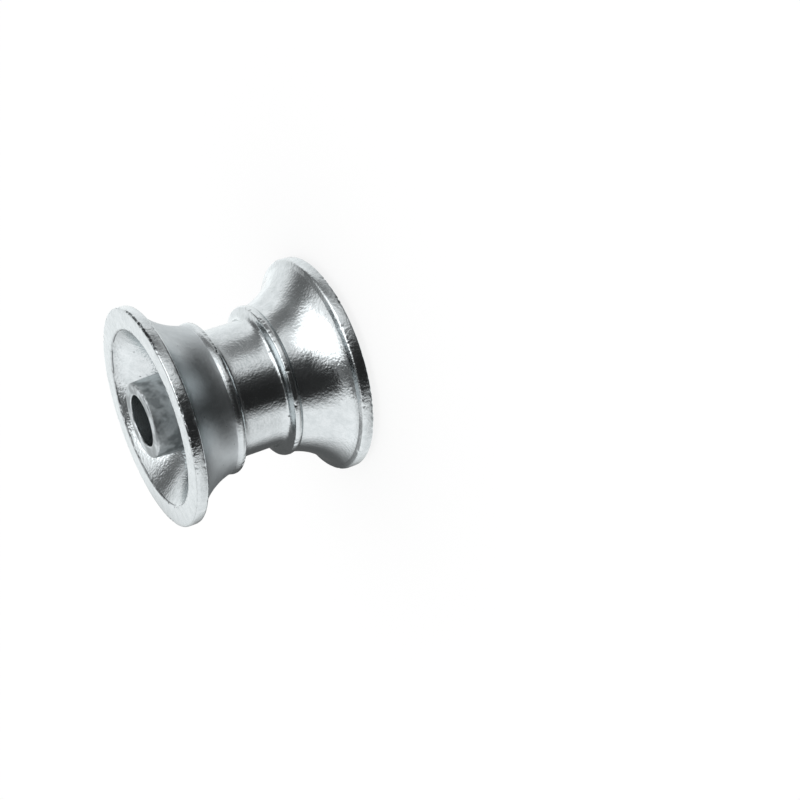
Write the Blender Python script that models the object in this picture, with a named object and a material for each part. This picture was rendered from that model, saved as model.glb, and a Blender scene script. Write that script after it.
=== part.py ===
"""Cast sheave: two flared rims, a stepped groove between them, a bored hub and a cored recess at each end.

The casting is a body of revolution about Z, stood on the end of its hub, with its middle at the origin.
Its section is drawn once, from the barrel up over the rim and down to the bore, and mirrored in the middle
plane. A section point is (radius, height), in metres, and a corner adds the size of its round.
"""

from math import acos, atan2, cos, hypot, pi, radians, sin, tan

import bmesh
import bpy

# Rims
RIM_DIAMETER = 0.0760
RIM_SPACING = 0.0642  # over the two rim faces
RIM_FACE_WIDTH = 0.0071
LAND_WIDTH = 0.0040
LAND_EDGE_ROUND = 0.0006
LIP_DROP = 0.0021
LIP_RUN = 0.0007
LIP_ROOT_FILLET = 0.0008

# Groove
FLARE_RADIUS = 0.0260  # of the flare's arc, seen in section
BEAD_DIAMETER = 0.0534
BEAD_SPACING = 0.0206  # between the crests of the two beads
BEAD_ROLL = 0.0025  # radius of the bead's rolled top, seen in section
BEAD_TO_NECK = radians(40)  # how far the roll turns from its crest to the foot of the flare
BEAD_TO_SHOULDER = radians(29)  # and from its crest to the edge of the shoulder
SHOULDER_ROUND = 0.0005
SHOULDER_SLOPE = radians(79)
BARREL_DIAMETER = 0.0448
BARREL_RISE = 0.0003  # at each end, where the barrel flares a little before the shoulder
BARREL_RISE_RUN = 0.0035
BARREL_FILLET = 0.0012

# Hub and bore
HUB_LENGTH = 0.0690
HUB_END_DIAMETER = 0.0260
HUB_DRAFT = radians(3.6)
HUB_END_ROUND = 0.0007
BORE_DIAMETER = 0.0178
BORE_CHAMFER = 0.0003

# Recess round the hub, at each end
RECESS_DEPTH = 0.0180
RECESS_EDGE_ROUND = 0.0004
RECESS_FLOOR_FILLET = 0.0028

SEGMENTS = 64
BEAD_STEPS = 3
FLARE_STEPS = 6
RECESS_STEPS = 5
ROUND_STEP = radians(36)  # the most that a small round turns between two points
SHARP_ANGLE = radians(40)


def arc(centre, start, end, steps):
    """Points from start to end round a centre, the short way."""
    first = atan2(start[1] - centre[1], start[0] - centre[0])
    last = atan2(end[1] - centre[1], end[0] - centre[0])
    sweep = (last - first + pi) % (2 * pi) - pi
    radius = hypot(start[0] - centre[0], start[1] - centre[1])
    angles = [first + sweep * step / steps for step in range(steps + 1)]
    return [(centre[0] + radius * cos(angle), centre[1] + radius * sin(angle)) for angle in angles]


def rounded(corners):
    """The section through the corners, each with a tangent arc that its two straight runs have room for."""
    points = []
    for index, (radius, height, size) in enumerate(corners):
        if size == 0:
            points.append((radius, height))
            continue
        runs = []
        for other in (corners[index - 1], corners[index + 1]):
            across, up = other[0] - radius, other[1] - height
            length = hypot(across, up)
            runs.append((across / length, up / length, length / 2 if other[2] else length))
        (ax, ay, room_a), (bx, by, room_b) = runs
        half_turn = (pi - acos(ax * bx + ay * by)) / 2
        back = min(size * tan(half_turn), room_a, room_b)
        away = back / sin(half_turn) / hypot(ax + bx, ay + by)
        centre = (radius + (ax + bx) * away, height + (ay + by) * away)
        start = (radius + ax * back, height + ay * back)
        end = (radius + bx * back, height + by * back)
        points += arc(centre, start, end, max(1, round(2 * half_turn / ROUND_STEP)))
    return points


def flare_centre(neck, mouth):
    """Centre of the flare's arc, which lies out in the groove, FLARE_RADIUS from the neck and from the mouth."""
    across, up = mouth[0] - neck[0], mouth[1] - neck[1]
    chord = hypot(across, up)
    away = (FLARE_RADIUS**2 - (chord / 2) ** 2) ** 0.5 / chord
    return ((neck[0] + mouth[0]) / 2 + up * away, (neck[1] + mouth[1]) / 2 - across * away)


def half_section():
    """The section above the middle plane, from the barrel to the bore."""
    rim_face, hub_face = RIM_SPACING / 2, HUB_LENGTH / 2
    land, bore = RIM_DIAMETER / 2, BORE_DIAMETER / 2
    land_edge = rim_face - LAND_WIDTH

    # The groove steps up a steep shoulder to the bead, whose rolled top meets the foot of the flare in a crease.
    roll_centre = (BEAD_DIAMETER / 2 - BEAD_ROLL, BEAD_SPACING / 2)
    shoulder, neck = (
        (roll_centre[0] + BEAD_ROLL * cos(lean), roll_centre[1] + BEAD_ROLL * sin(lean))
        for lean in (-BEAD_TO_SHOULDER, BEAD_TO_NECK)
    )
    barrel_end = BARREL_DIAMETER / 2 + BARREL_RISE
    foot = shoulder[1] - (shoulder[0] - barrel_end) / tan(SHOULDER_SLOPE)
    mouth = (land - LIP_DROP, land_edge - LIP_RUN)
    centre = flare_centre(neck, mouth)
    groove = [
        (BARREL_DIAMETER / 2, foot - BARREL_RISE_RUN, 0),
        (barrel_end, foot, BARREL_FILLET),
        (*shoulder, SHOULDER_ROUND),
        *((*point, 0) for point in arc(roll_centre, shoulder, neck, BEAD_STEPS)[1:]),
        *((*point, 0) for point in arc(centre, neck, mouth, FLARE_STEPS)[1:-1]),
        (*mouth, LIP_ROOT_FILLET),
    ]

    # The recess wall is an arc about the flare's centre, so the casting is as thick all the way along.
    recess_mouth = (land - RIM_FACE_WIDTH, rim_face)
    wall = hypot(recess_mouth[0] - centre[0], recess_mouth[1] - centre[1])
    floor = rim_face - RECESS_DEPTH

    def wall_at(height):
        return (centre[0] - (wall**2 - (height - centre[1]) ** 2) ** 0.5, height)

    def hub_at(height):
        return (HUB_END_DIAMETER / 2 + (hub_face - height) * tan(HUB_DRAFT), height)

    fillet_top = wall_at(floor + RECESS_FLOOR_FILLET)
    rim = [
        (land, land_edge, LAND_EDGE_ROUND),
        (land, rim_face, LAND_EDGE_ROUND),
        (*recess_mouth, RECESS_EDGE_ROUND),
        *((*point, 0) for point in arc(centre, recess_mouth, fillet_top, RECESS_STEPS)[1:]),
    ]
    hub = [
        (*wall_at(floor), RECESS_FLOOR_FILLET),
        (*hub_at(floor), RECESS_FLOOR_FILLET),
        (*hub_at(hub_face), HUB_END_ROUND),
        (bore + BORE_CHAMFER, hub_face, 0),
        (bore, hub_face - BORE_CHAMFER, 0),
    ]
    first, last = (BARREL_DIAMETER / 2, 0, 0), (bore, 0, 0)
    return rounded([first, *groove, *rim, *hub, last])[1:-1]


def turned(name, section):
    """A mesh object that is a closed section turned about Z."""
    mesh = bpy.data.meshes.new(name)
    shape = bmesh.new()
    corners = [shape.verts.new((radius, 0, height)) for radius, height in section]
    edges = [shape.edges.new((corners[i - 1], corners[i])) for i in range(len(corners))]
    bmesh.ops.spin(
        shape,
        geom=corners + edges,
        cent=(0, 0, 0),
        axis=(0, 0, 1),
        angle=2 * pi,
        steps=SEGMENTS,
        use_merge=True,
    )
    bmesh.ops.recalc_face_normals(shape, faces=shape.faces[:])
    shape.to_mesh(mesh)
    shape.free()
    mesh.shade_smooth()
    mesh.set_sharp_from_angle(angle=SHARP_ANGLE)
    piece = bpy.data.objects.new(name, mesh)
    bpy.context.scene.collection.objects.link(piece)
    return piece


def zinc_plated_casting():
    """Bright zinc over a sand-cast skin: light grey metal with a broad, grainy shine."""
    material = bpy.data.materials.new("zinc_plated_casting")
    material.use_nodes = True
    shader = material.node_tree.nodes["Principled BSDF"]
    shader.inputs["Base Color"].default_value = (0.60, 0.62, 0.62, 1)
    shader.inputs["Metallic"].default_value = 1
    shader.inputs["Roughness"].default_value = 0.3
    return material


for old in list(bpy.data.objects):
    bpy.data.objects.remove(old)

upper = half_section()
lower = [(radius, -height) for radius, height in reversed(upper)]
sheave = turned("sheave", upper + lower)
sheave.data.materials.append(zinc_plated_casting())
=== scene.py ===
"""Looks of a cast and zinc-plated sheave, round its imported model.

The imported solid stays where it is, hidden. One finer mesh of the same section stands in its place, inside its
box, with true rounds, the uneven skin of a casting and the knocks on its edges. All lengths are in metres.
"""

from math import acos, atan2, cos, exp, hypot, pi, radians, sin, tan

import bpy
from mathutils import Matrix, Vector, noise


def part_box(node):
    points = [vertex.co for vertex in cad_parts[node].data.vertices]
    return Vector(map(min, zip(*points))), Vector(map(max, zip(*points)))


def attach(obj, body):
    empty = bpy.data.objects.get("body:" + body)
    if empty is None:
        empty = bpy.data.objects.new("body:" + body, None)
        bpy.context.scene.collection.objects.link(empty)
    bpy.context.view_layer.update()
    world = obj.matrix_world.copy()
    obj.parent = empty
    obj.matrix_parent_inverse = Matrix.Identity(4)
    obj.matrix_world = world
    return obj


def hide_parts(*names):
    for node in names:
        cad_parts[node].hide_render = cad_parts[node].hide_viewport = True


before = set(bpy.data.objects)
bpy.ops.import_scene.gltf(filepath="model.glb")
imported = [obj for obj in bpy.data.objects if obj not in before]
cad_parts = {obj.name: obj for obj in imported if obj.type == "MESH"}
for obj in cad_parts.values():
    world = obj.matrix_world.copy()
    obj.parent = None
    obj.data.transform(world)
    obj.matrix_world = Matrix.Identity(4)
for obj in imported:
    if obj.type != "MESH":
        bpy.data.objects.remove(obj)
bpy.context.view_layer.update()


# The casting: one piece of grey iron, poured in sand with a core at each end. It is a body of revolution: a
# barrel between two stepped beads, a flare and a rim at each end, and a hub with a through bore. The core
# leaves the recess round the hub, behind a wall as thick as the flare all the way along.
low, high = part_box("sheave")
RIM = high.x
HUB_FACE = high.z
RIM_FACE = 0.0642 / 2
RIM_FACE_WIDTH = 0.0071
LAND_WIDTH = 0.0040
LAND_EDGE_ROUND = 0.0006
LIP_DROP = 0.0021
LIP_RUN = 0.0007
LIP_ROOT_FILLET = 0.0005
LIP_EDGE_ROUND = 0.0011
FLARE_RADIUS = 0.0260
NECK_FILLET = 0.00025
BEAD = 0.0534 / 2
BEAD_HEIGHT = 0.0103
BEAD_ROLL = 0.0025
BEAD_TO_NECK = radians(40)
BEAD_TO_SHOULDER = radians(29)
SHOULDER_ROUND = 0.0005
SHOULDER_SLOPE = radians(79)
BARREL = 0.0448 / 2
BARREL_RISE = 0.0003
BARREL_RISE_RUN = 0.0035
BARREL_RISE_ROUND = 0.0200
BARREL_FILLET = 0.0020
HUB_END = 0.0260 / 2
HUB_DRAFT = radians(3.6)
HUB_END_ROUND = 0.0005
BORE = 0.0178 / 2
BORE_CHAMFER = 0.0003
RECESS_FLOOR = RIM_FACE - 0.0180
RECESS_EDGE_ROUND = 0.0006
RECESS_FLOOR_FILLET = 0.0028
BEAD_STEPS = 4
FLARE_STEPS = 10
RECESS_STEPS = 8
ROUND_STEP = radians(22)  # the most that a small round turns between two points
SEGMENTS = 520
SHARP_ANGLE = radians(35)

# The edges that wear, as radius, height and how far the wear reaches. The mesh is finest beside them.
WORN_EDGES = [
    (RIM, RIM_FACE, 0.0009),
    (RIM, RIM_FACE - LAND_WIDTH, 0.0006),
    (RIM - RIM_FACE_WIDTH, RIM_FACE, 0.0006),
    (HUB_END, HUB_FACE, 0.0004),
    (BEAD, BEAD_HEIGHT - 0.0008, 0.0006),
]
SHORTEST_RUN = 0.0005
LONGEST_RUN = 0.0028
LONGEST_BORE_RUN = 0.0090


def arc(centre, start, end, steps):
    """Points from start to end round a centre, the short way."""
    first = atan2(start[1] - centre[1], start[0] - centre[0])
    last = atan2(end[1] - centre[1], end[0] - centre[0])
    sweep = (last - first + pi) % (2 * pi) - pi
    radius = hypot(start[0] - centre[0], start[1] - centre[1])
    angles = [first + sweep * step / steps for step in range(steps + 1)]
    return [(centre[0] + radius * cos(angle), centre[1] + radius * sin(angle)) for angle in angles]


def rounded(corners):
    """The section through (radius, height, round size) corners, each with its tangent arc."""
    points = []
    for index, (radius, height, size) in enumerate(corners):
        if size == 0:
            points.append((radius, height))
            continue
        runs = []
        for other in (corners[index - 1], corners[index + 1]):
            across, up = other[0] - radius, other[1] - height
            length = hypot(across, up)
            runs.append((across / length, up / length, length / 2 if other[2] else length))
        (ax, ay, room_a), (bx, by, room_b) = runs
        half_turn = (pi - acos(ax * bx + ay * by)) / 2
        back = min(size * tan(half_turn), room_a, room_b)
        away = back / sin(half_turn) / hypot(ax + bx, ay + by)
        centre = (radius + (ax + bx) * away, height + (ay + by) * away)
        start = (radius + ax * back, height + ay * back)
        end = (radius + bx * back, height + by * back)
        points += arc(centre, start, end, max(1, round(2 * half_turn / ROUND_STEP)))
    return points


def flare_centre(neck, mouth):
    """Centre of the flare's arc, out in the groove, FLARE_RADIUS from the neck and from the mouth."""
    across, up = mouth[0] - neck[0], mouth[1] - neck[1]
    away = (FLARE_RADIUS**2 / (across**2 + up**2) - 0.25) ** 0.5
    return ((neck[0] + mouth[0]) / 2 + up * away, (neck[1] + mouth[1]) / 2 - across * away)


# The bead's roll runs from the edge of the shoulder to the neck, where the flare starts.
ROLL_CENTRE = (BEAD - BEAD_ROLL, BEAD_HEIGHT)
SHOULDER, NECK = (
    (ROLL_CENTRE[0] + BEAD_ROLL * cos(lean), ROLL_CENTRE[1] + BEAD_ROLL * sin(lean))
    for lean in (-BEAD_TO_SHOULDER, BEAD_TO_NECK)
)
MOUTH = (RIM - LIP_DROP, RIM_FACE - LAND_WIDTH - LIP_RUN)
FLARE_CENTRE = flare_centre(NECK, MOUTH)


def half_section():
    """The section above the middle plane, from the barrel to the bore."""
    centre = FLARE_CENTRE
    barrel_end = SHOULDER[1] - (SHOULDER[0] - BARREL - BARREL_RISE) / tan(SHOULDER_SLOPE)
    recess_mouth = (RIM - RIM_FACE_WIDTH, RIM_FACE)
    wall = hypot(recess_mouth[0] - centre[0], recess_mouth[1] - centre[1])

    def wall_at(height):
        return (centre[0] - (wall**2 - (height - centre[1]) ** 2) ** 0.5, height)

    def hub_at(height):
        return (HUB_END + (HUB_FACE - height) * tan(HUB_DRAFT), height)

    fillet_top = wall_at(RECESS_FLOOR + RECESS_FLOOR_FILLET)
    return rounded([
        (BARREL, 0, 0),
        (BARREL, barrel_end - BARREL_RISE_RUN, BARREL_RISE_ROUND),
        (BARREL + BARREL_RISE, barrel_end, BARREL_FILLET),
        (*SHOULDER, SHOULDER_ROUND),
        *((*point, 0) for point in arc(ROLL_CENTRE, SHOULDER, NECK, BEAD_STEPS)[1:-1]),
        (*NECK, NECK_FILLET),
        *((*point, 0) for point in arc(centre, NECK, MOUTH, FLARE_STEPS)[1:-1]),
        (*MOUTH, LIP_ROOT_FILLET),
        (RIM, RIM_FACE - LAND_WIDTH, LIP_EDGE_ROUND),
        (RIM, RIM_FACE, LAND_EDGE_ROUND),
        (*recess_mouth, RECESS_EDGE_ROUND),
        *((*point, 0) for point in arc(centre, recess_mouth, fillet_top, RECESS_STEPS)[1:]),
        (*wall_at(RECESS_FLOOR), RECESS_FLOOR_FILLET),
        (*hub_at(RECESS_FLOOR), RECESS_FLOOR_FILLET),
        (*hub_at(HUB_FACE), HUB_END_ROUND),
        (BORE + BORE_CHAMFER, HUB_FACE, 0),
        (BORE, HUB_FACE - BORE_CHAMFER, 0),
        (BORE, 0, 0),
    ])


def halved(point, after):
    """The run from one point to the next, halved until it is short enough: finest beside the worn edges."""
    radius, height = (point[0] + after[0]) / 2, (point[1] + after[1]) / 2
    nearest = min(hypot(radius - r, abs(height) - z) for r, z, _ in WORN_EDGES)
    longest = min(LONGEST_RUN, max(SHORTEST_RUN, nearest))
    if radius < BORE + BORE_CHAMFER / 2:
        longest = LONGEST_BORE_RUN
    if hypot(after[0] - point[0], after[1] - point[1]) <= longest:
        return [point]
    return halved(point, (radius, height)) + halved((radius, height), after)


upper = half_section()
lower = [(radius, -height) for radius, height in reversed(upper[1:-1])]
outline = upper + lower
runs = zip(outline, outline[1:] + outline[:1])
section = [corner for point, after in runs for corner in halved(point, after)]

# Sand leaves the skin uneven, and tumbling and handling knock its edges. Nothing stands out past the packed
# solid, so every knock and hollow goes inwards.
SKIN_DEPTH = 0.00006
SKIN_WAVE = 0.009
WAVER_DEPTH = 0.00006
WAVER_LENGTH = 0.0045
NICK_DEPTH = 0.0011
NICK_LENGTH = 0.0012
NICK_START = 0.10  # the noise under this makes no nick
NICK_CLUSTER = 0.008
NEAR_EDGE = 0.02  # the share of an edge's wear under which a point has plain skin


def edge_share(point):
    """How near a point lies to a worn edge: 1 on it, falling to 0 a reach or two away."""
    radius, height = hypot(point.x, point.y), abs(point.z)
    return max(exp(-(((radius - r) ** 2 + (height - z) ** 2) / reach**2)) for r, z, reach in WORN_EDGES)


def hollow(point):
    """How far the skin lies inside the drawn section."""
    skin = SKIN_DEPTH * (0.5 + 0.5 * noise.fractal(point / SKIN_WAVE, 1.0, 2.0, 2))
    share = edge_share(point)
    if share < NEAR_EDGE:
        return skin
    waver = WAVER_DEPTH * (0.5 + 0.5 * noise.noise(point / WAVER_LENGTH))
    cluster = min(1, max(0, 0.45 + 1.8 * noise.noise(point / NICK_CLUSTER)))
    nick = NICK_DEPTH * cluster * max(0, noise.noise(point / NICK_LENGTH) - NICK_START)
    return skin + share * waver + share**2 * nick


def outward(index):
    """The section's own outward direction at one of its points, across and up."""
    before, after = section[index - 1], section[(index + 1) % len(section)]
    across, up = after[1] - before[1], before[0] - after[0]
    size = hypot(across, up)
    return across / size, up / size


points, faces = [], []
count = len(section)
normals = [outward(index) for index in range(count)]
for segment in range(SEGMENTS):
    angle = 2 * pi * segment / SEGMENTS
    for (radius, height), (across, up) in zip(section, normals):
        point = Vector((radius * cos(angle), radius * sin(angle), height))
        normal = Vector((across * cos(angle), across * sin(angle), up))
        points.append(point - normal * max(0, hollow(point)))
    here, following = segment * count, (segment + 1) % SEGMENTS * count
    for index in range(count):
        after = (index + 1) % count
        faces.append((here + index, following + index, following + after, here + after))
mesh = bpy.data.meshes.new("cast_sheave")
mesh.from_pydata(points, [], faces)
mesh.shade_smooth()
mesh.set_sharp_from_angle(angle=SHARP_ANGLE)
casting = bpy.data.objects.new("cast_sheave", mesh)
bpy.context.scene.collection.objects.link(casting)
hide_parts("sheave")
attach(casting, "root")

# The finish is bright zinc, barrel-plated over the sand skin after tumbling: a pale, slightly blue mirror
# that the grain under it breaks up. The upper flare and the hub's side took a duller plate, and the hub's
# end is rubbed grey. The upper flare's darker colour is painted shade, and so are the dark lines along the
# upper rim's edge and inside each mouth.
ZINC = "D3D8DA"
ZINC_AT_A_GLANCE = "E8EAEA"  # the share that it still mirrors at a glancing angle
CLOUDY_ZINC = "C3C9CB"
# the upper flare's colour, darker as painted shade
DULL_ZINC_AND_PAINTED_SHADE = "BDC3C6"
RUBBED_ZINC = "B4BABD"
STAIN = "8F9496"
PIT_GREY = "8B9092"
# painted shade, for the dark lines at the upper rim's edge and inside each mouth
PAINTED_EDGE_SHADE = "54585A"
CLOUDY_ROUGHNESS = 0.20
BRIGHT_ROUGHNESS = 0.12
ROUGHER_IN_BORE = 0.06
ROUGHER_WHERE_DULL = 0.21

# The grain is that of 0.3 mm moulding sand, drawn 0.8 mm coarse so that it shows.
GRAIN = 0.0008
GRAIN_DEPTH = 0.00013
GRAIN_SHARE = 0.44
MORE_GRAIN_IN_RECESS = 0.34
LESS_GRAIN_WHERE_DULL = 0.08
LUMP = 0.0030
LUMP_DEPTH = 0.00006
CLOUD = 0.0028
STAIN_PATCH = 0.0050
PIT_SPACING = 0.0016
PIT_DEPTH = 0.00006
KNOCK = 0.0011
KNOCK_DEPTH = 0.00011
RUB_WIDTH = 0.0006
RUB_DEPTH = 0.00003
RUB_SLENDERNESS = 0.12  # width over length, which runs along the axis
# The ragged line of painted shade along the upper rim's edge.
RIM_SHADE_CIRCLE = (RIM - 0.0001, RIM_FACE - 0.0005)  # radius and height
RIM_SHADE_WIDTH = 0.00042
RIM_SHADE_CORE = 0.00026  # the painted shade is full this near the circle, and gone at the width
RIM_SHADE_RAGGEDNESS = 0.0024
RIM_SHADE_MIDDLE = (0.0277, -0.0259, 0.0315)
RIM_SHADE_REACH = 0.0135
RIM_SHADE_FADE = 0.0020
# The thin broken line of painted shade inside each mouth.
MOUTH_CIRCLE = (RIM - RIM_FACE_WIDTH - 0.0004, RIM_FACE - 0.0005)
MOUTH_LINE_WIDTH = 0.00030
MOUTH_LINE_CORE = 0.00012
SCARS = [(0.0075, -0.0218, -0.0079), (-0.0146, -0.0181, -0.0082)]
SCAR_REACH = 0.00045
SCAR_SLENDERNESS = 0.35


def linear(hex_colour):
    """An sRGB hex colour as linear red, green, blue and alpha."""
    parts = [int(hex_colour[start : start + 2], 16) / 255 for start in (0, 2, 4)]
    return [part / 12.92 if part <= 0.04045 else ((part + 0.055) / 1.055) ** 2.4 for part in parts] + [1]


def add(tree, kind, settings=(), **links):
    """A node with its settings. Each link names a socket, or numbers it after a _, and gives its value."""
    node = tree.nodes.new(kind)
    for name, value in dict(settings).items():
        setattr(node, name, value)
    for name, value in links.items():
        socket = node.inputs[int(name[1:]) if name[0] == "_" else name.replace("_", " ")]
        if isinstance(value, bpy.types.Node):
            value = next(output for output in value.outputs if output.enabled)
        if isinstance(value, bpy.types.NodeSocket):
            tree.links.new(value, socket)
        else:
            socket.default_value = value
    return node


def bright_zinc_on_cast_iron():
    """Barrel-plated zinc on sand-cast iron: a grainy, cloudy mirror, pitted, with knocks on its rims."""
    material = bpy.data.materials.new("bright_zinc_on_cast_iron")
    material.use_nodes = True
    tree = material.node_tree
    shader = tree.nodes["Principled BSDF"]
    shader.inputs["Metallic"].default_value = 1
    shader.inputs["Specular Tint"].default_value = linear(ZINC_AT_A_GLANCE)

    # Where a point lies: how high, how far from the axis and from the middle plane, and how far from three
    # circles round the axis.
    place = add(tree, "ShaderNodeTexCoord").outputs["Object"]
    along = add(tree, "ShaderNodeSeparateXYZ", Vector=place).outputs
    height = along["Z"]
    flat = add(tree, "ShaderNodeCombineXYZ", X=along["X"], Y=along["Y"])
    radius = add(tree, "ShaderNodeVectorMath", {"operation": "LENGTH"}, _0=flat)
    level = add(tree, "ShaderNodeMath", {"operation": "ABSOLUTE"}, _0=height)
    drawn = add(tree, "ShaderNodeCombineXYZ", X=radius, Y=level)
    from_flare, from_rim, from_mouth = (
        add(tree, "ShaderNodeVectorMath", {"operation": "DISTANCE"}, _0=drawn, _1=(*circle, 0))
        for circle in (FLARE_CENTRE, RIM_SHADE_CIRCLE, MOUTH_CIRCLE)
    )

    # The parts of the casting that differ, each with where it starts to show and where it is full.
    parts = {
        "land": (radius, RIM - 0.0007, RIM - 0.0002),
        "bore": (radius, BORE + 0.0006, BORE + 0.0002),
        "hub": (radius, HUB_END + 0.0022, HUB_END + 0.0013),
        "hub_end": (level, HUB_FACE - 0.0007, HUB_FACE - 0.0003),
        "behind_flare": (from_flare, FLARE_RADIUS + 0.0010, FLARE_RADIUS + 0.0018),
        "over_recess_floor": (level, 0.0125, 0.0140),
        "inside_rim": (radius, RIM - 0.0065, RIM - 0.0072),
        "over_upper_bead": (height, 0.0105, 0.0125),
        "under_upper_land": (height, 0.0285, 0.0270),
    }
    for part, (measure, starts, full) in parts.items():
        parts[part] = add(tree, "ShaderNodeMapRange", Value=measure, From_Min=starts, From_Max=full)
    land, bore, hub_end = parts["land"], parts["bore"], parts["hub_end"]
    cored = parts["behind_flare"]
    for limit in ("over_recess_floor", "inside_rim"):
        cored = add(tree, "ShaderNodeMath", {"operation": "MULTIPLY"}, _0=cored, _1=parts[limit])
    over, under = parts["over_upper_bead"], parts["under_upper_land"]
    flare = add(tree, "ShaderNodeMath", {"operation": "MULTIPLY"}, _0=over, _1=under)
    less = {"operation": "SUBTRACT", "use_clamp": True}
    upper_flare = add(tree, "ShaderNodeMath", less, _0=flare, _1=cored)
    hub_side = add(tree, "ShaderNodeMath", less, _0=parts["hub"], _1=bore)
    dull = add(tree, "ShaderNodeMath", {"operation": "MAXIMUM"}, _0=upper_flare, _1=hub_side)

    # Clouds in the plate: 3 mm patches that mirror a little sharper and paler than the metal between them.
    clouds = add(tree, "ShaderNodeTexNoise", Vector=place, Scale=1 / CLOUD, Detail=5, Roughness=0.72)
    cloud = add(tree, "ShaderNodeMapRange", Value=clouds, From_Min=0.30, From_Max=0.62)
    colour = add(
        tree, "ShaderNodeMix", {"data_type": "RGBA"}, _0=cloud, _6=linear(CLOUDY_ZINC), _7=linear(ZINC)
    )
    # The upper flare's darker colour is painted shade; its duller plate is the added roughness.
    dulled_and_shaded = add(tree, "ShaderNodeMath", {"operation": "MULTIPLY"}, _0=upper_flare, _1=0.8)
    colour = add(tree, "ShaderNodeMix", {"data_type": "RGBA"}, _0=dulled_and_shaded, _6=colour, _7=linear(DULL_ZINC_AND_PAINTED_SHADE))
    rough = add(
        tree,
        "ShaderNodeMapRange",
        Value=clouds,
        From_Min=0.3,
        From_Max=0.7,
        To_Min=CLOUDY_ROUGHNESS,
        To_Max=BRIGHT_ROUGHNESS,
    )
    for part, rougher in ((bore, ROUGHER_IN_BORE), (dull, ROUGHER_WHERE_DULL)):
        rough = add(tree, "ShaderNodeMath", {"operation": "MULTIPLY_ADD"}, _0=part, _1=rougher, _2=rough)

    # Pits left by sand grains that stuck, and two scars on the barrel, longer along the axis than across it.
    spots = add(tree, "ShaderNodeTexNoise", Vector=place, Scale=1 / PIT_SPACING, Detail=1)
    sunk = add(tree, "ShaderNodeMapRange", Value=spots, From_Min=0.775, From_Max=0.82)
    scale = (1, 1, SCAR_SLENDERNESS)
    squashed = add(tree, "ShaderNodeVectorMath", {"operation": "MULTIPLY"}, _0=place, _1=scale)
    for x, y, z in SCARS:
        middle = (x, y, z * SCAR_SLENDERNESS)
        off = add(tree, "ShaderNodeVectorMath", {"operation": "DISTANCE"}, _0=squashed, _1=middle)
        scar = add(tree, "ShaderNodeMapRange", Value=off, From_Min=SCAR_REACH, From_Max=SCAR_REACH / 2)
        sunk = add(tree, "ShaderNodeMath", {"operation": "MAXIMUM"}, _0=sunk, _1=scar)
    colour = add(tree, "ShaderNodeMix", {"data_type": "RGBA"}, _0=sunk, _6=colour, _7=linear(PIT_GREY))

    # Wear: the hub's end rubbed in spots against a side plate, and stained patches along its side.
    knocks = add(tree, "ShaderNodeTexNoise", Vector=place, Scale=1 / KNOCK, Detail=3, Roughness=0.6)
    spotted = add(
        tree, "ShaderNodeMapRange", Value=knocks, From_Min=0.38, From_Max=0.62, To_Min=0.8, To_Max=0.1
    )
    rubbed = add(tree, "ShaderNodeMath", {"operation": "MULTIPLY"}, _0=hub_end, _1=spotted)
    colour = add(tree, "ShaderNodeMix", {"data_type": "RGBA"}, _0=rubbed, _6=colour, _7=linear(RUBBED_ZINC))
    patches = add(tree, "ShaderNodeTexNoise", Vector=place, Scale=1 / STAIN_PATCH, Detail=2)
    patchy = add(tree, "ShaderNodeMapRange", Value=patches, From_Min=0.42, From_Max=0.58)
    stained = add(tree, "ShaderNodeMath", {"operation": "MULTIPLY"}, _0=hub_side, _1=patchy)
    colour = add(tree, "ShaderNodeMix", {"data_type": "RGBA"}, _0=stained, _6=colour, _7=linear(STAIN))

    # Painted shade: a ragged dark line on part of the upper rim's edge, a thin broken one inside each mouth.
    ragged = add(
        tree,
        "ShaderNodeMath",
        {"operation": "MULTIPLY_ADD"},
        _0=knocks,
        _1=RIM_SHADE_RAGGEDNESS,
        _2=-RIM_SHADE_RAGGEDNESS / 2,
    )
    rim_edge = add(tree, "ShaderNodeMath", {"operation": "ADD"}, _0=from_rim, _1=ragged)
    rim_line = add(tree, "ShaderNodeMapRange", Value=rim_edge, From_Min=RIM_SHADE_WIDTH, From_Max=RIM_SHADE_CORE)
    off_rim_shade = add(tree, "ShaderNodeVectorMath", {"operation": "DISTANCE"}, _0=place, _1=RIM_SHADE_MIDDLE)
    rim_shade_span = add(
        tree,
        "ShaderNodeMapRange",
        Value=off_rim_shade,
        From_Min=RIM_SHADE_REACH,
        From_Max=RIM_SHADE_REACH - RIM_SHADE_FADE,
    )
    rim_shade = add(tree, "ShaderNodeMath", {"operation": "MULTIPLY"}, _0=rim_line, _1=rim_shade_span)
    mouth_line = add(
        tree, "ShaderNodeMapRange", Value=from_mouth, From_Min=MOUTH_LINE_WIDTH, From_Max=MOUTH_LINE_CORE
    )
    breaks = add(tree, "ShaderNodeMapRange", Value=patches, From_Min=0.36, From_Max=0.52, To_Max=0.85)
    broken_line = add(tree, "ShaderNodeMath", {"operation": "MULTIPLY"}, _0=mouth_line, _1=breaks)
    edge_shade = add(tree, "ShaderNodeMath", {"operation": "MAXIMUM"}, _0=rim_shade, _1=broken_line)
    colour = add(tree, "ShaderNodeMix", {"data_type": "RGBA"}, _0=edge_shade, _6=colour, _7=linear(PAINTED_EDGE_SHADE))

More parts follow.
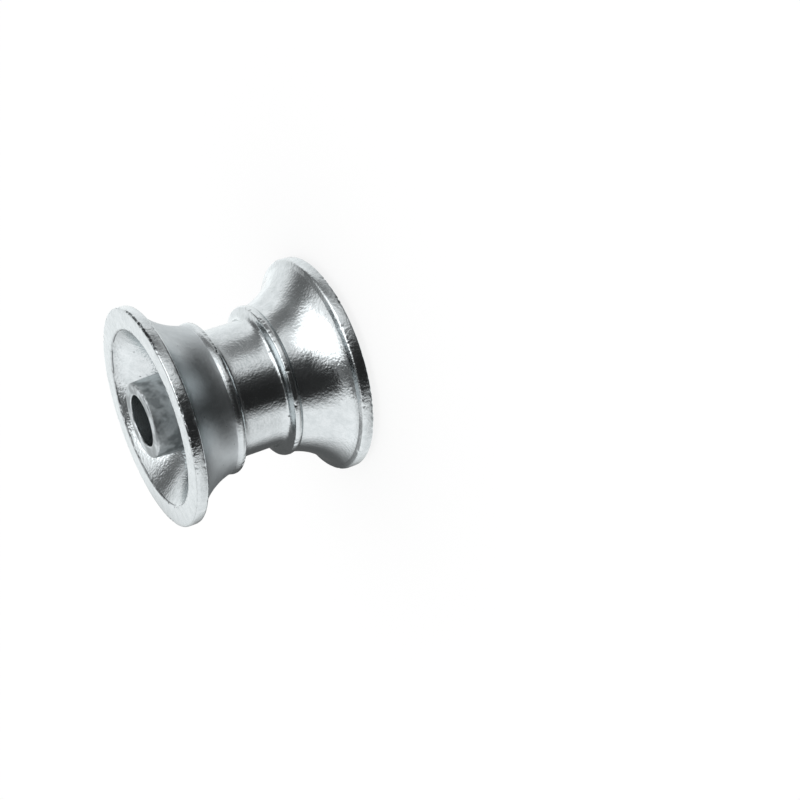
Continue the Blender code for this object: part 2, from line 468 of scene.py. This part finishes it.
    # The relief under the plate: soft lumps, the sand's grain, strongest in the recesses and weak where the
    # plate is dull, the pits and scars, and on the lands the knocks and the streaks of the tumbling.
    lumps = add(tree, "ShaderNodeTexNoise", Vector=place, Scale=1 / LUMP, Detail=2, Roughness=0.5)
    relief = add(tree, "ShaderNodeBump", Height=lumps, Strength=1, Distance=LUMP_DEPTH)
    grain = add(tree, "ShaderNodeTexNoise", Vector=place, Scale=1 / GRAIN, Detail=1)
    sandy = GRAIN_SHARE
    for part, more in ((cored, MORE_GRAIN_IN_RECESS), (dull, -LESS_GRAIN_WHERE_DULL)):
        sandy = add(tree, "ShaderNodeMath", {"operation": "MULTIPLY_ADD"}, _0=part, _1=more, _2=sandy)
    relief = add(tree, "ShaderNodeBump", Height=grain, Strength=sandy, Distance=GRAIN_DEPTH, Normal=relief)
    relief = add(
        tree, "ShaderNodeBump", {"invert": True}, Height=sunk, Strength=1, Distance=PIT_DEPTH, Normal=relief
    )
    relief = add(tree, "ShaderNodeBump", Height=knocks, Strength=land, Distance=KNOCK_DEPTH, Normal=relief)
    scale = (1, 1, RUB_SLENDERNESS)
    streaked = add(tree, "ShaderNodeVectorMath", {"operation": "MULTIPLY"}, _0=place, _1=scale)
    rubs = add(tree, "ShaderNodeTexNoise", Vector=streaked, Scale=1 / RUB_WIDTH, Detail=1)
    relief = add(tree, "ShaderNodeBump", Height=rubs, Strength=land, Distance=RUB_DEPTH, Normal=relief)

    tree.links.new(colour.outputs[2], shader.inputs["Base Color"])
    tree.links.new(rough.outputs[0], shader.inputs["Roughness"])
    tree.links.new(relief.outputs[0], shader.inputs["Normal"])
    return material


mesh.materials.append(bright_zinc_on_cast_iron())


# The floor: a plain sweep of matt white paper, level with the lower end of the hub. It looks white from
# everywhere, and a quarter of that white is its own lit surface, which keeps the sheave's soft shadow.
FLOOR_SIZE = 6.0
FLOOR_OWN_WHITE = 0.25
FLOOR_GIVEN_WHITE = 1.08
PAPER = "E7E7E7"


def white_paper():
    """Matt white paper, with the rest of its white given to the camera and to mirror images."""
    material = bpy.data.materials.new("white_paper")
    material.use_nodes = True
    tree = material.node_tree
    tree.nodes.clear()
    paper = add(tree, "ShaderNodeBsdfDiffuse", Color=linear(PAPER))
    glow = add(tree, "ShaderNodeEmission", Color=(1, 1, 1, 1), Strength=FLOOR_GIVEN_WHITE)
    rays = add(tree, "ShaderNodeLightPath").outputs
    camera, glossy = rays["Is Camera Ray"], rays["Is Glossy Ray"]
    seen = add(tree, "ShaderNodeMath", {"operation": "MAXIMUM"}, _0=camera, _1=glossy)
    share = add(tree, "ShaderNodeMath", {"operation": "MULTIPLY"}, _0=seen, _1=1 - FLOOR_OWN_WHITE)
    blend = add(tree, "ShaderNodeMixShader", _0=share, _1=paper, _2=glow)
    add(tree, "ShaderNodeOutputMaterial", Surface=blend)
    return material


half = FLOOR_SIZE / 2
corners = [(-half, -half, low.z), (half, -half, low.z), (half, half, low.z), (-half, half, low.z)]
floor_mesh = bpy.data.meshes.new("floor")
floor_mesh.from_pydata(corners, [], [(0, 1, 2, 3)])
floor_mesh.materials.append(white_paper())
floor = bpy.data.objects.new("floor", floor_mesh)
bpy.context.scene.collection.objects.link(floor)
floor.visible_glossy = False  # the metal mirrors what hangs in the studio instead, below as well as above


# The light: a plain white studio. Only the metal mirrors what hangs in it, a softbox up in front and to the
# right, a window behind, and cloths from grey to black. Azimuth 0 is the camera's side and 90 is +X. Sizes
# are in degrees, soft is the width of a blurred edge, and a lean moves a cloth sideways as it rises. The
# numbers weren't placed by hand: a separate program fitted them to the photograph's tones, and they were
# rounded. A few of the levels, the room's and the ceiling's among them, were changed afterwards.
ROOM = 1.18
HANGINGS = {
    "table_edge": dict(azimuth=7, elevation=-66, width=216, height=69, soft=54, level=0.03, lean=-0.13),
    "dim_ceiling": dict(azimuth=-116, elevation=78, width=255, height=28, soft=10, level=0.14, lean=0.90),
    "window": dict(azimuth=191, elevation=12, width=44, height=55, soft=37, level=1.9, lean=1.2),
    "front_cloth": dict(azimuth=-1, elevation=-2, width=38, height=88, soft=28, level=0.06, lean=-0.07),
    "softbox": dict(azimuth=45, elevation=43, width=75, height=67, soft=17, level=2.1, lean=-0.77),
    "grey_cloth": dict(azimuth=75, elevation=-1, width=35, height=53, soft=21, level=0.27, lean=0.41),
    "leaning_cloth": dict(azimuth=119, elevation=38, width=76, height=55, soft=48, level=0.16, lean=1.86),
    "rear_cloth": dict(azimuth=-151, elevation=32, width=28, height=88, soft=59, level=0.60, lean=0.63),
    "front_flag": dict(azimuth=-30, elevation=9, width=54, height=117, soft=28, level=0.02, lean=-0.08),
}


def studio():
    """A white world, and for what the metal mirrors the hangings laid over it one by one."""
    world = bpy.data.worlds.new("studio")
    bpy.context.scene.world = world
    world.use_nodes = True
    tree = world.node_tree
    tree.nodes.clear()
    direction = add(tree, "ShaderNodeTexCoord").outputs["Generated"]
    towards = add(tree, "ShaderNodeSeparateXYZ", Vector=direction).outputs
    nearer = add(tree, "ShaderNodeMath", {"operation": "MULTIPLY"}, _0=towards["Y"], _1=-1)
    azimuth = add(tree, "ShaderNodeMath", {"operation": "ARCTAN2"}, _0=towards["X"], _1=nearer)
    elevation = add(tree, "ShaderNodeMath", {"operation": "ARCSINE"}, _0=towards["Z"])
    light = ROOM
    for card in HANGINGS.values():
        middle = add(
            tree,
            "ShaderNodeMath",
            {"operation": "MULTIPLY_ADD"},
            _0=elevation,
            _1=card["lean"],
            _2=radians(card["azimuth"] - card["lean"] * card["elevation"]),
        )
        aside = add(tree, "ShaderNodeMath", {"operation": "SUBTRACT"}, _0=azimuth, _1=middle)
        aside = add(tree, "ShaderNodeMath", {"operation": "WRAP"}, _0=aside, _1=pi, _2=-pi)
        above = add(
            tree, "ShaderNodeMath", {"operation": "SUBTRACT"}, _0=elevation, _1=radians(card["elevation"])
        )
        cover = 1
        for distance, size in ((aside, card["width"]), (above, card["height"])):
            distance = add(tree, "ShaderNodeMath", {"operation": "ABSOLUTE"}, _0=distance)
            share = add(
                tree,
                "ShaderNodeMapRange",
                {"interpolation_type": "SMOOTHSTEP"},
                Value=distance,
                From_Min=radians(size + card["soft"]) / 2,
                From_Max=radians(size - card["soft"]) / 2,
            )
            cover = add(tree, "ShaderNodeMath", {"operation": "MULTIPLY"}, _0=cover, _1=share)
        light = add(tree, "ShaderNodeMix", {"data_type": "FLOAT"}, _0=cover, _2=light, _3=card["level"])
    plain = add(tree, "ShaderNodeBackground", Color=(1, 1, 1, 1), Strength=1)
    hung = add(tree, "ShaderNodeBackground", Color=(1, 1, 1, 1), Strength=light)
    mirrored = add(tree, "ShaderNodeLightPath").outputs["Is Glossy Ray"]
    room = add(tree, "ShaderNodeMixShader", _0=mirrored, _1=plain, _2=hung)
    add(tree, "ShaderNodeOutputWorld", Surface=room)


studio()
bpy.context.scene.view_settings.view_transform = "Standard"


# The shade card: black velvet with a feathered edge, hung close beside the groove, where only the metal sees
# it. It mirrors as the deep shade along the lower side of the barrel and the flares. Its numbers come from
# the same fit as the light's, except its level and its height, which were changed afterwards.
SHADE_AZIMUTH = radians(-124)
SHADE_DISTANCE = 0.0400
SHADE_MIDDLE = -0.0045
SHADE_HALF_HEIGHT = 0.034
SHADE_HALF_WIDTH = 0.022
SHADE_FEATHER = 0.020
SHADE_LEVEL = 0.14


def feathered_velvet():
    """Black velvet that thins out towards its edges."""
    material = bpy.data.materials.new("feathered_velvet")
    material.use_nodes = True
    tree = material.node_tree
    tree.nodes.clear()
    place = add(tree, "ShaderNodeTexCoord").outputs["Object"]
    away = add(tree, "ShaderNodeSeparateXYZ", Vector=place).outputs
    share = 1
    for side, half_size in (("X", SHADE_HALF_WIDTH), ("Y", SHADE_HALF_HEIGHT)):
        edge = add(
            tree,
            "ShaderNodeMapRange",
            {"interpolation_type": "SMOOTHSTEP"},
            Value=add(tree, "ShaderNodeMath", {"operation": "ABSOLUTE"}, _0=away[side]),
            From_Min=half_size + SHADE_FEATHER / 2,
            From_Max=half_size - SHADE_FEATHER / 2,
        )
        share = add(tree, "ShaderNodeMath", {"operation": "MULTIPLY"}, _0=share, _1=edge)
    clear = add(tree, "ShaderNodeBsdfTransparent", Color=(1, 1, 1, 1))
    velvet = add(tree, "ShaderNodeEmission", Color=(1, 1, 1, 1), Strength=SHADE_LEVEL)
    cloth = add(tree, "ShaderNodeMixShader", _0=share, _1=clear, _2=velvet)
    add(tree, "ShaderNodeOutputMaterial", Surface=cloth)
    return material


wide, tall = SHADE_HALF_WIDTH + SHADE_FEATHER / 2, SHADE_HALF_HEIGHT + SHADE_FEATHER / 2
shade_mesh = bpy.data.meshes.new("shade_card")
corners = [(-wide, -tall, 0), (wide, -tall, 0), (wide, tall, 0), (-wide, tall, 0)]
shade_mesh.from_pydata(corners, [], [(0, 1, 2, 3)])
shade_mesh.materials.append(feathered_velvet())
shade = bpy.data.objects.new("shade_card", shade_mesh)
shade.location = (SHADE_DISTANCE * sin(SHADE_AZIMUTH), -SHADE_DISTANCE * cos(SHADE_AZIMUTH), SHADE_MIDDLE)
shade.rotation_euler = (pi / 2, 0, SHADE_AZIMUTH)
bpy.context.scene.collection.objects.link(shade)
for sight in ("camera", "diffuse", "transmission", "volume_scatter", "shadow"):
    setattr(shade, f"visible_{sight}", False)


# The camera: it looks down on the sheave from 24.65 degrees and lies over on its side by 19.44 degrees more
# than a quarter turn, so the standing sheave shows with its upper end to the left.
FOCAL_LENGTH = 67.5
SENSOR = 36.0
PICTURE = 800  # pixels, across and up
CAMERA_HEIGHT_ANGLE = radians(24.65)
CAMERA_TILT = radians(19.44)
RIM_CENTRE_PIXEL = (148.1, 418.9)  # where the middle of the upper rim's face shows
RIM_DEPTH = 0.4946  # and how far it is along the view

camera = bpy.data.objects.new("camera", bpy.data.cameras.new("camera"))
camera.data.lens = FOCAL_LENGTH
camera.data.sensor_width = SENSOR
ahead = Vector((0, cos(CAMERA_HEIGHT_ANGLE), -sin(CAMERA_HEIGHT_ANGLE)))
sideways = Vector((1, 0, 0))
above = Vector((0, sin(CAMERA_HEIGHT_ANGLE), cos(CAMERA_HEIGHT_ANGLE)))
right = -sin(CAMERA_TILT) * sideways - cos(CAMERA_TILT) * above
up = cos(CAMERA_TILT) * sideways - sin(CAMERA_TILT) * above
pixels_per_depth = FOCAL_LENGTH / SENSOR * PICTURE
offset_right = (RIM_CENTRE_PIXEL[0] - PICTURE / 2) / pixels_per_depth * RIM_DEPTH
offset_up = (PICTURE / 2 - RIM_CENTRE_PIXEL[1]) / pixels_per_depth * RIM_DEPTH
stand = Vector((0, 0, RIM_FACE)) - RIM_DEPTH * ahead - offset_right * right - offset_up * up
camera.matrix_world = Matrix.Translation(stand) @ Matrix((right, up, -ahead)).transposed().to_4x4()
bpy.context.scene.collection.objects.link(camera)
bpy.context.scene.camera = camera
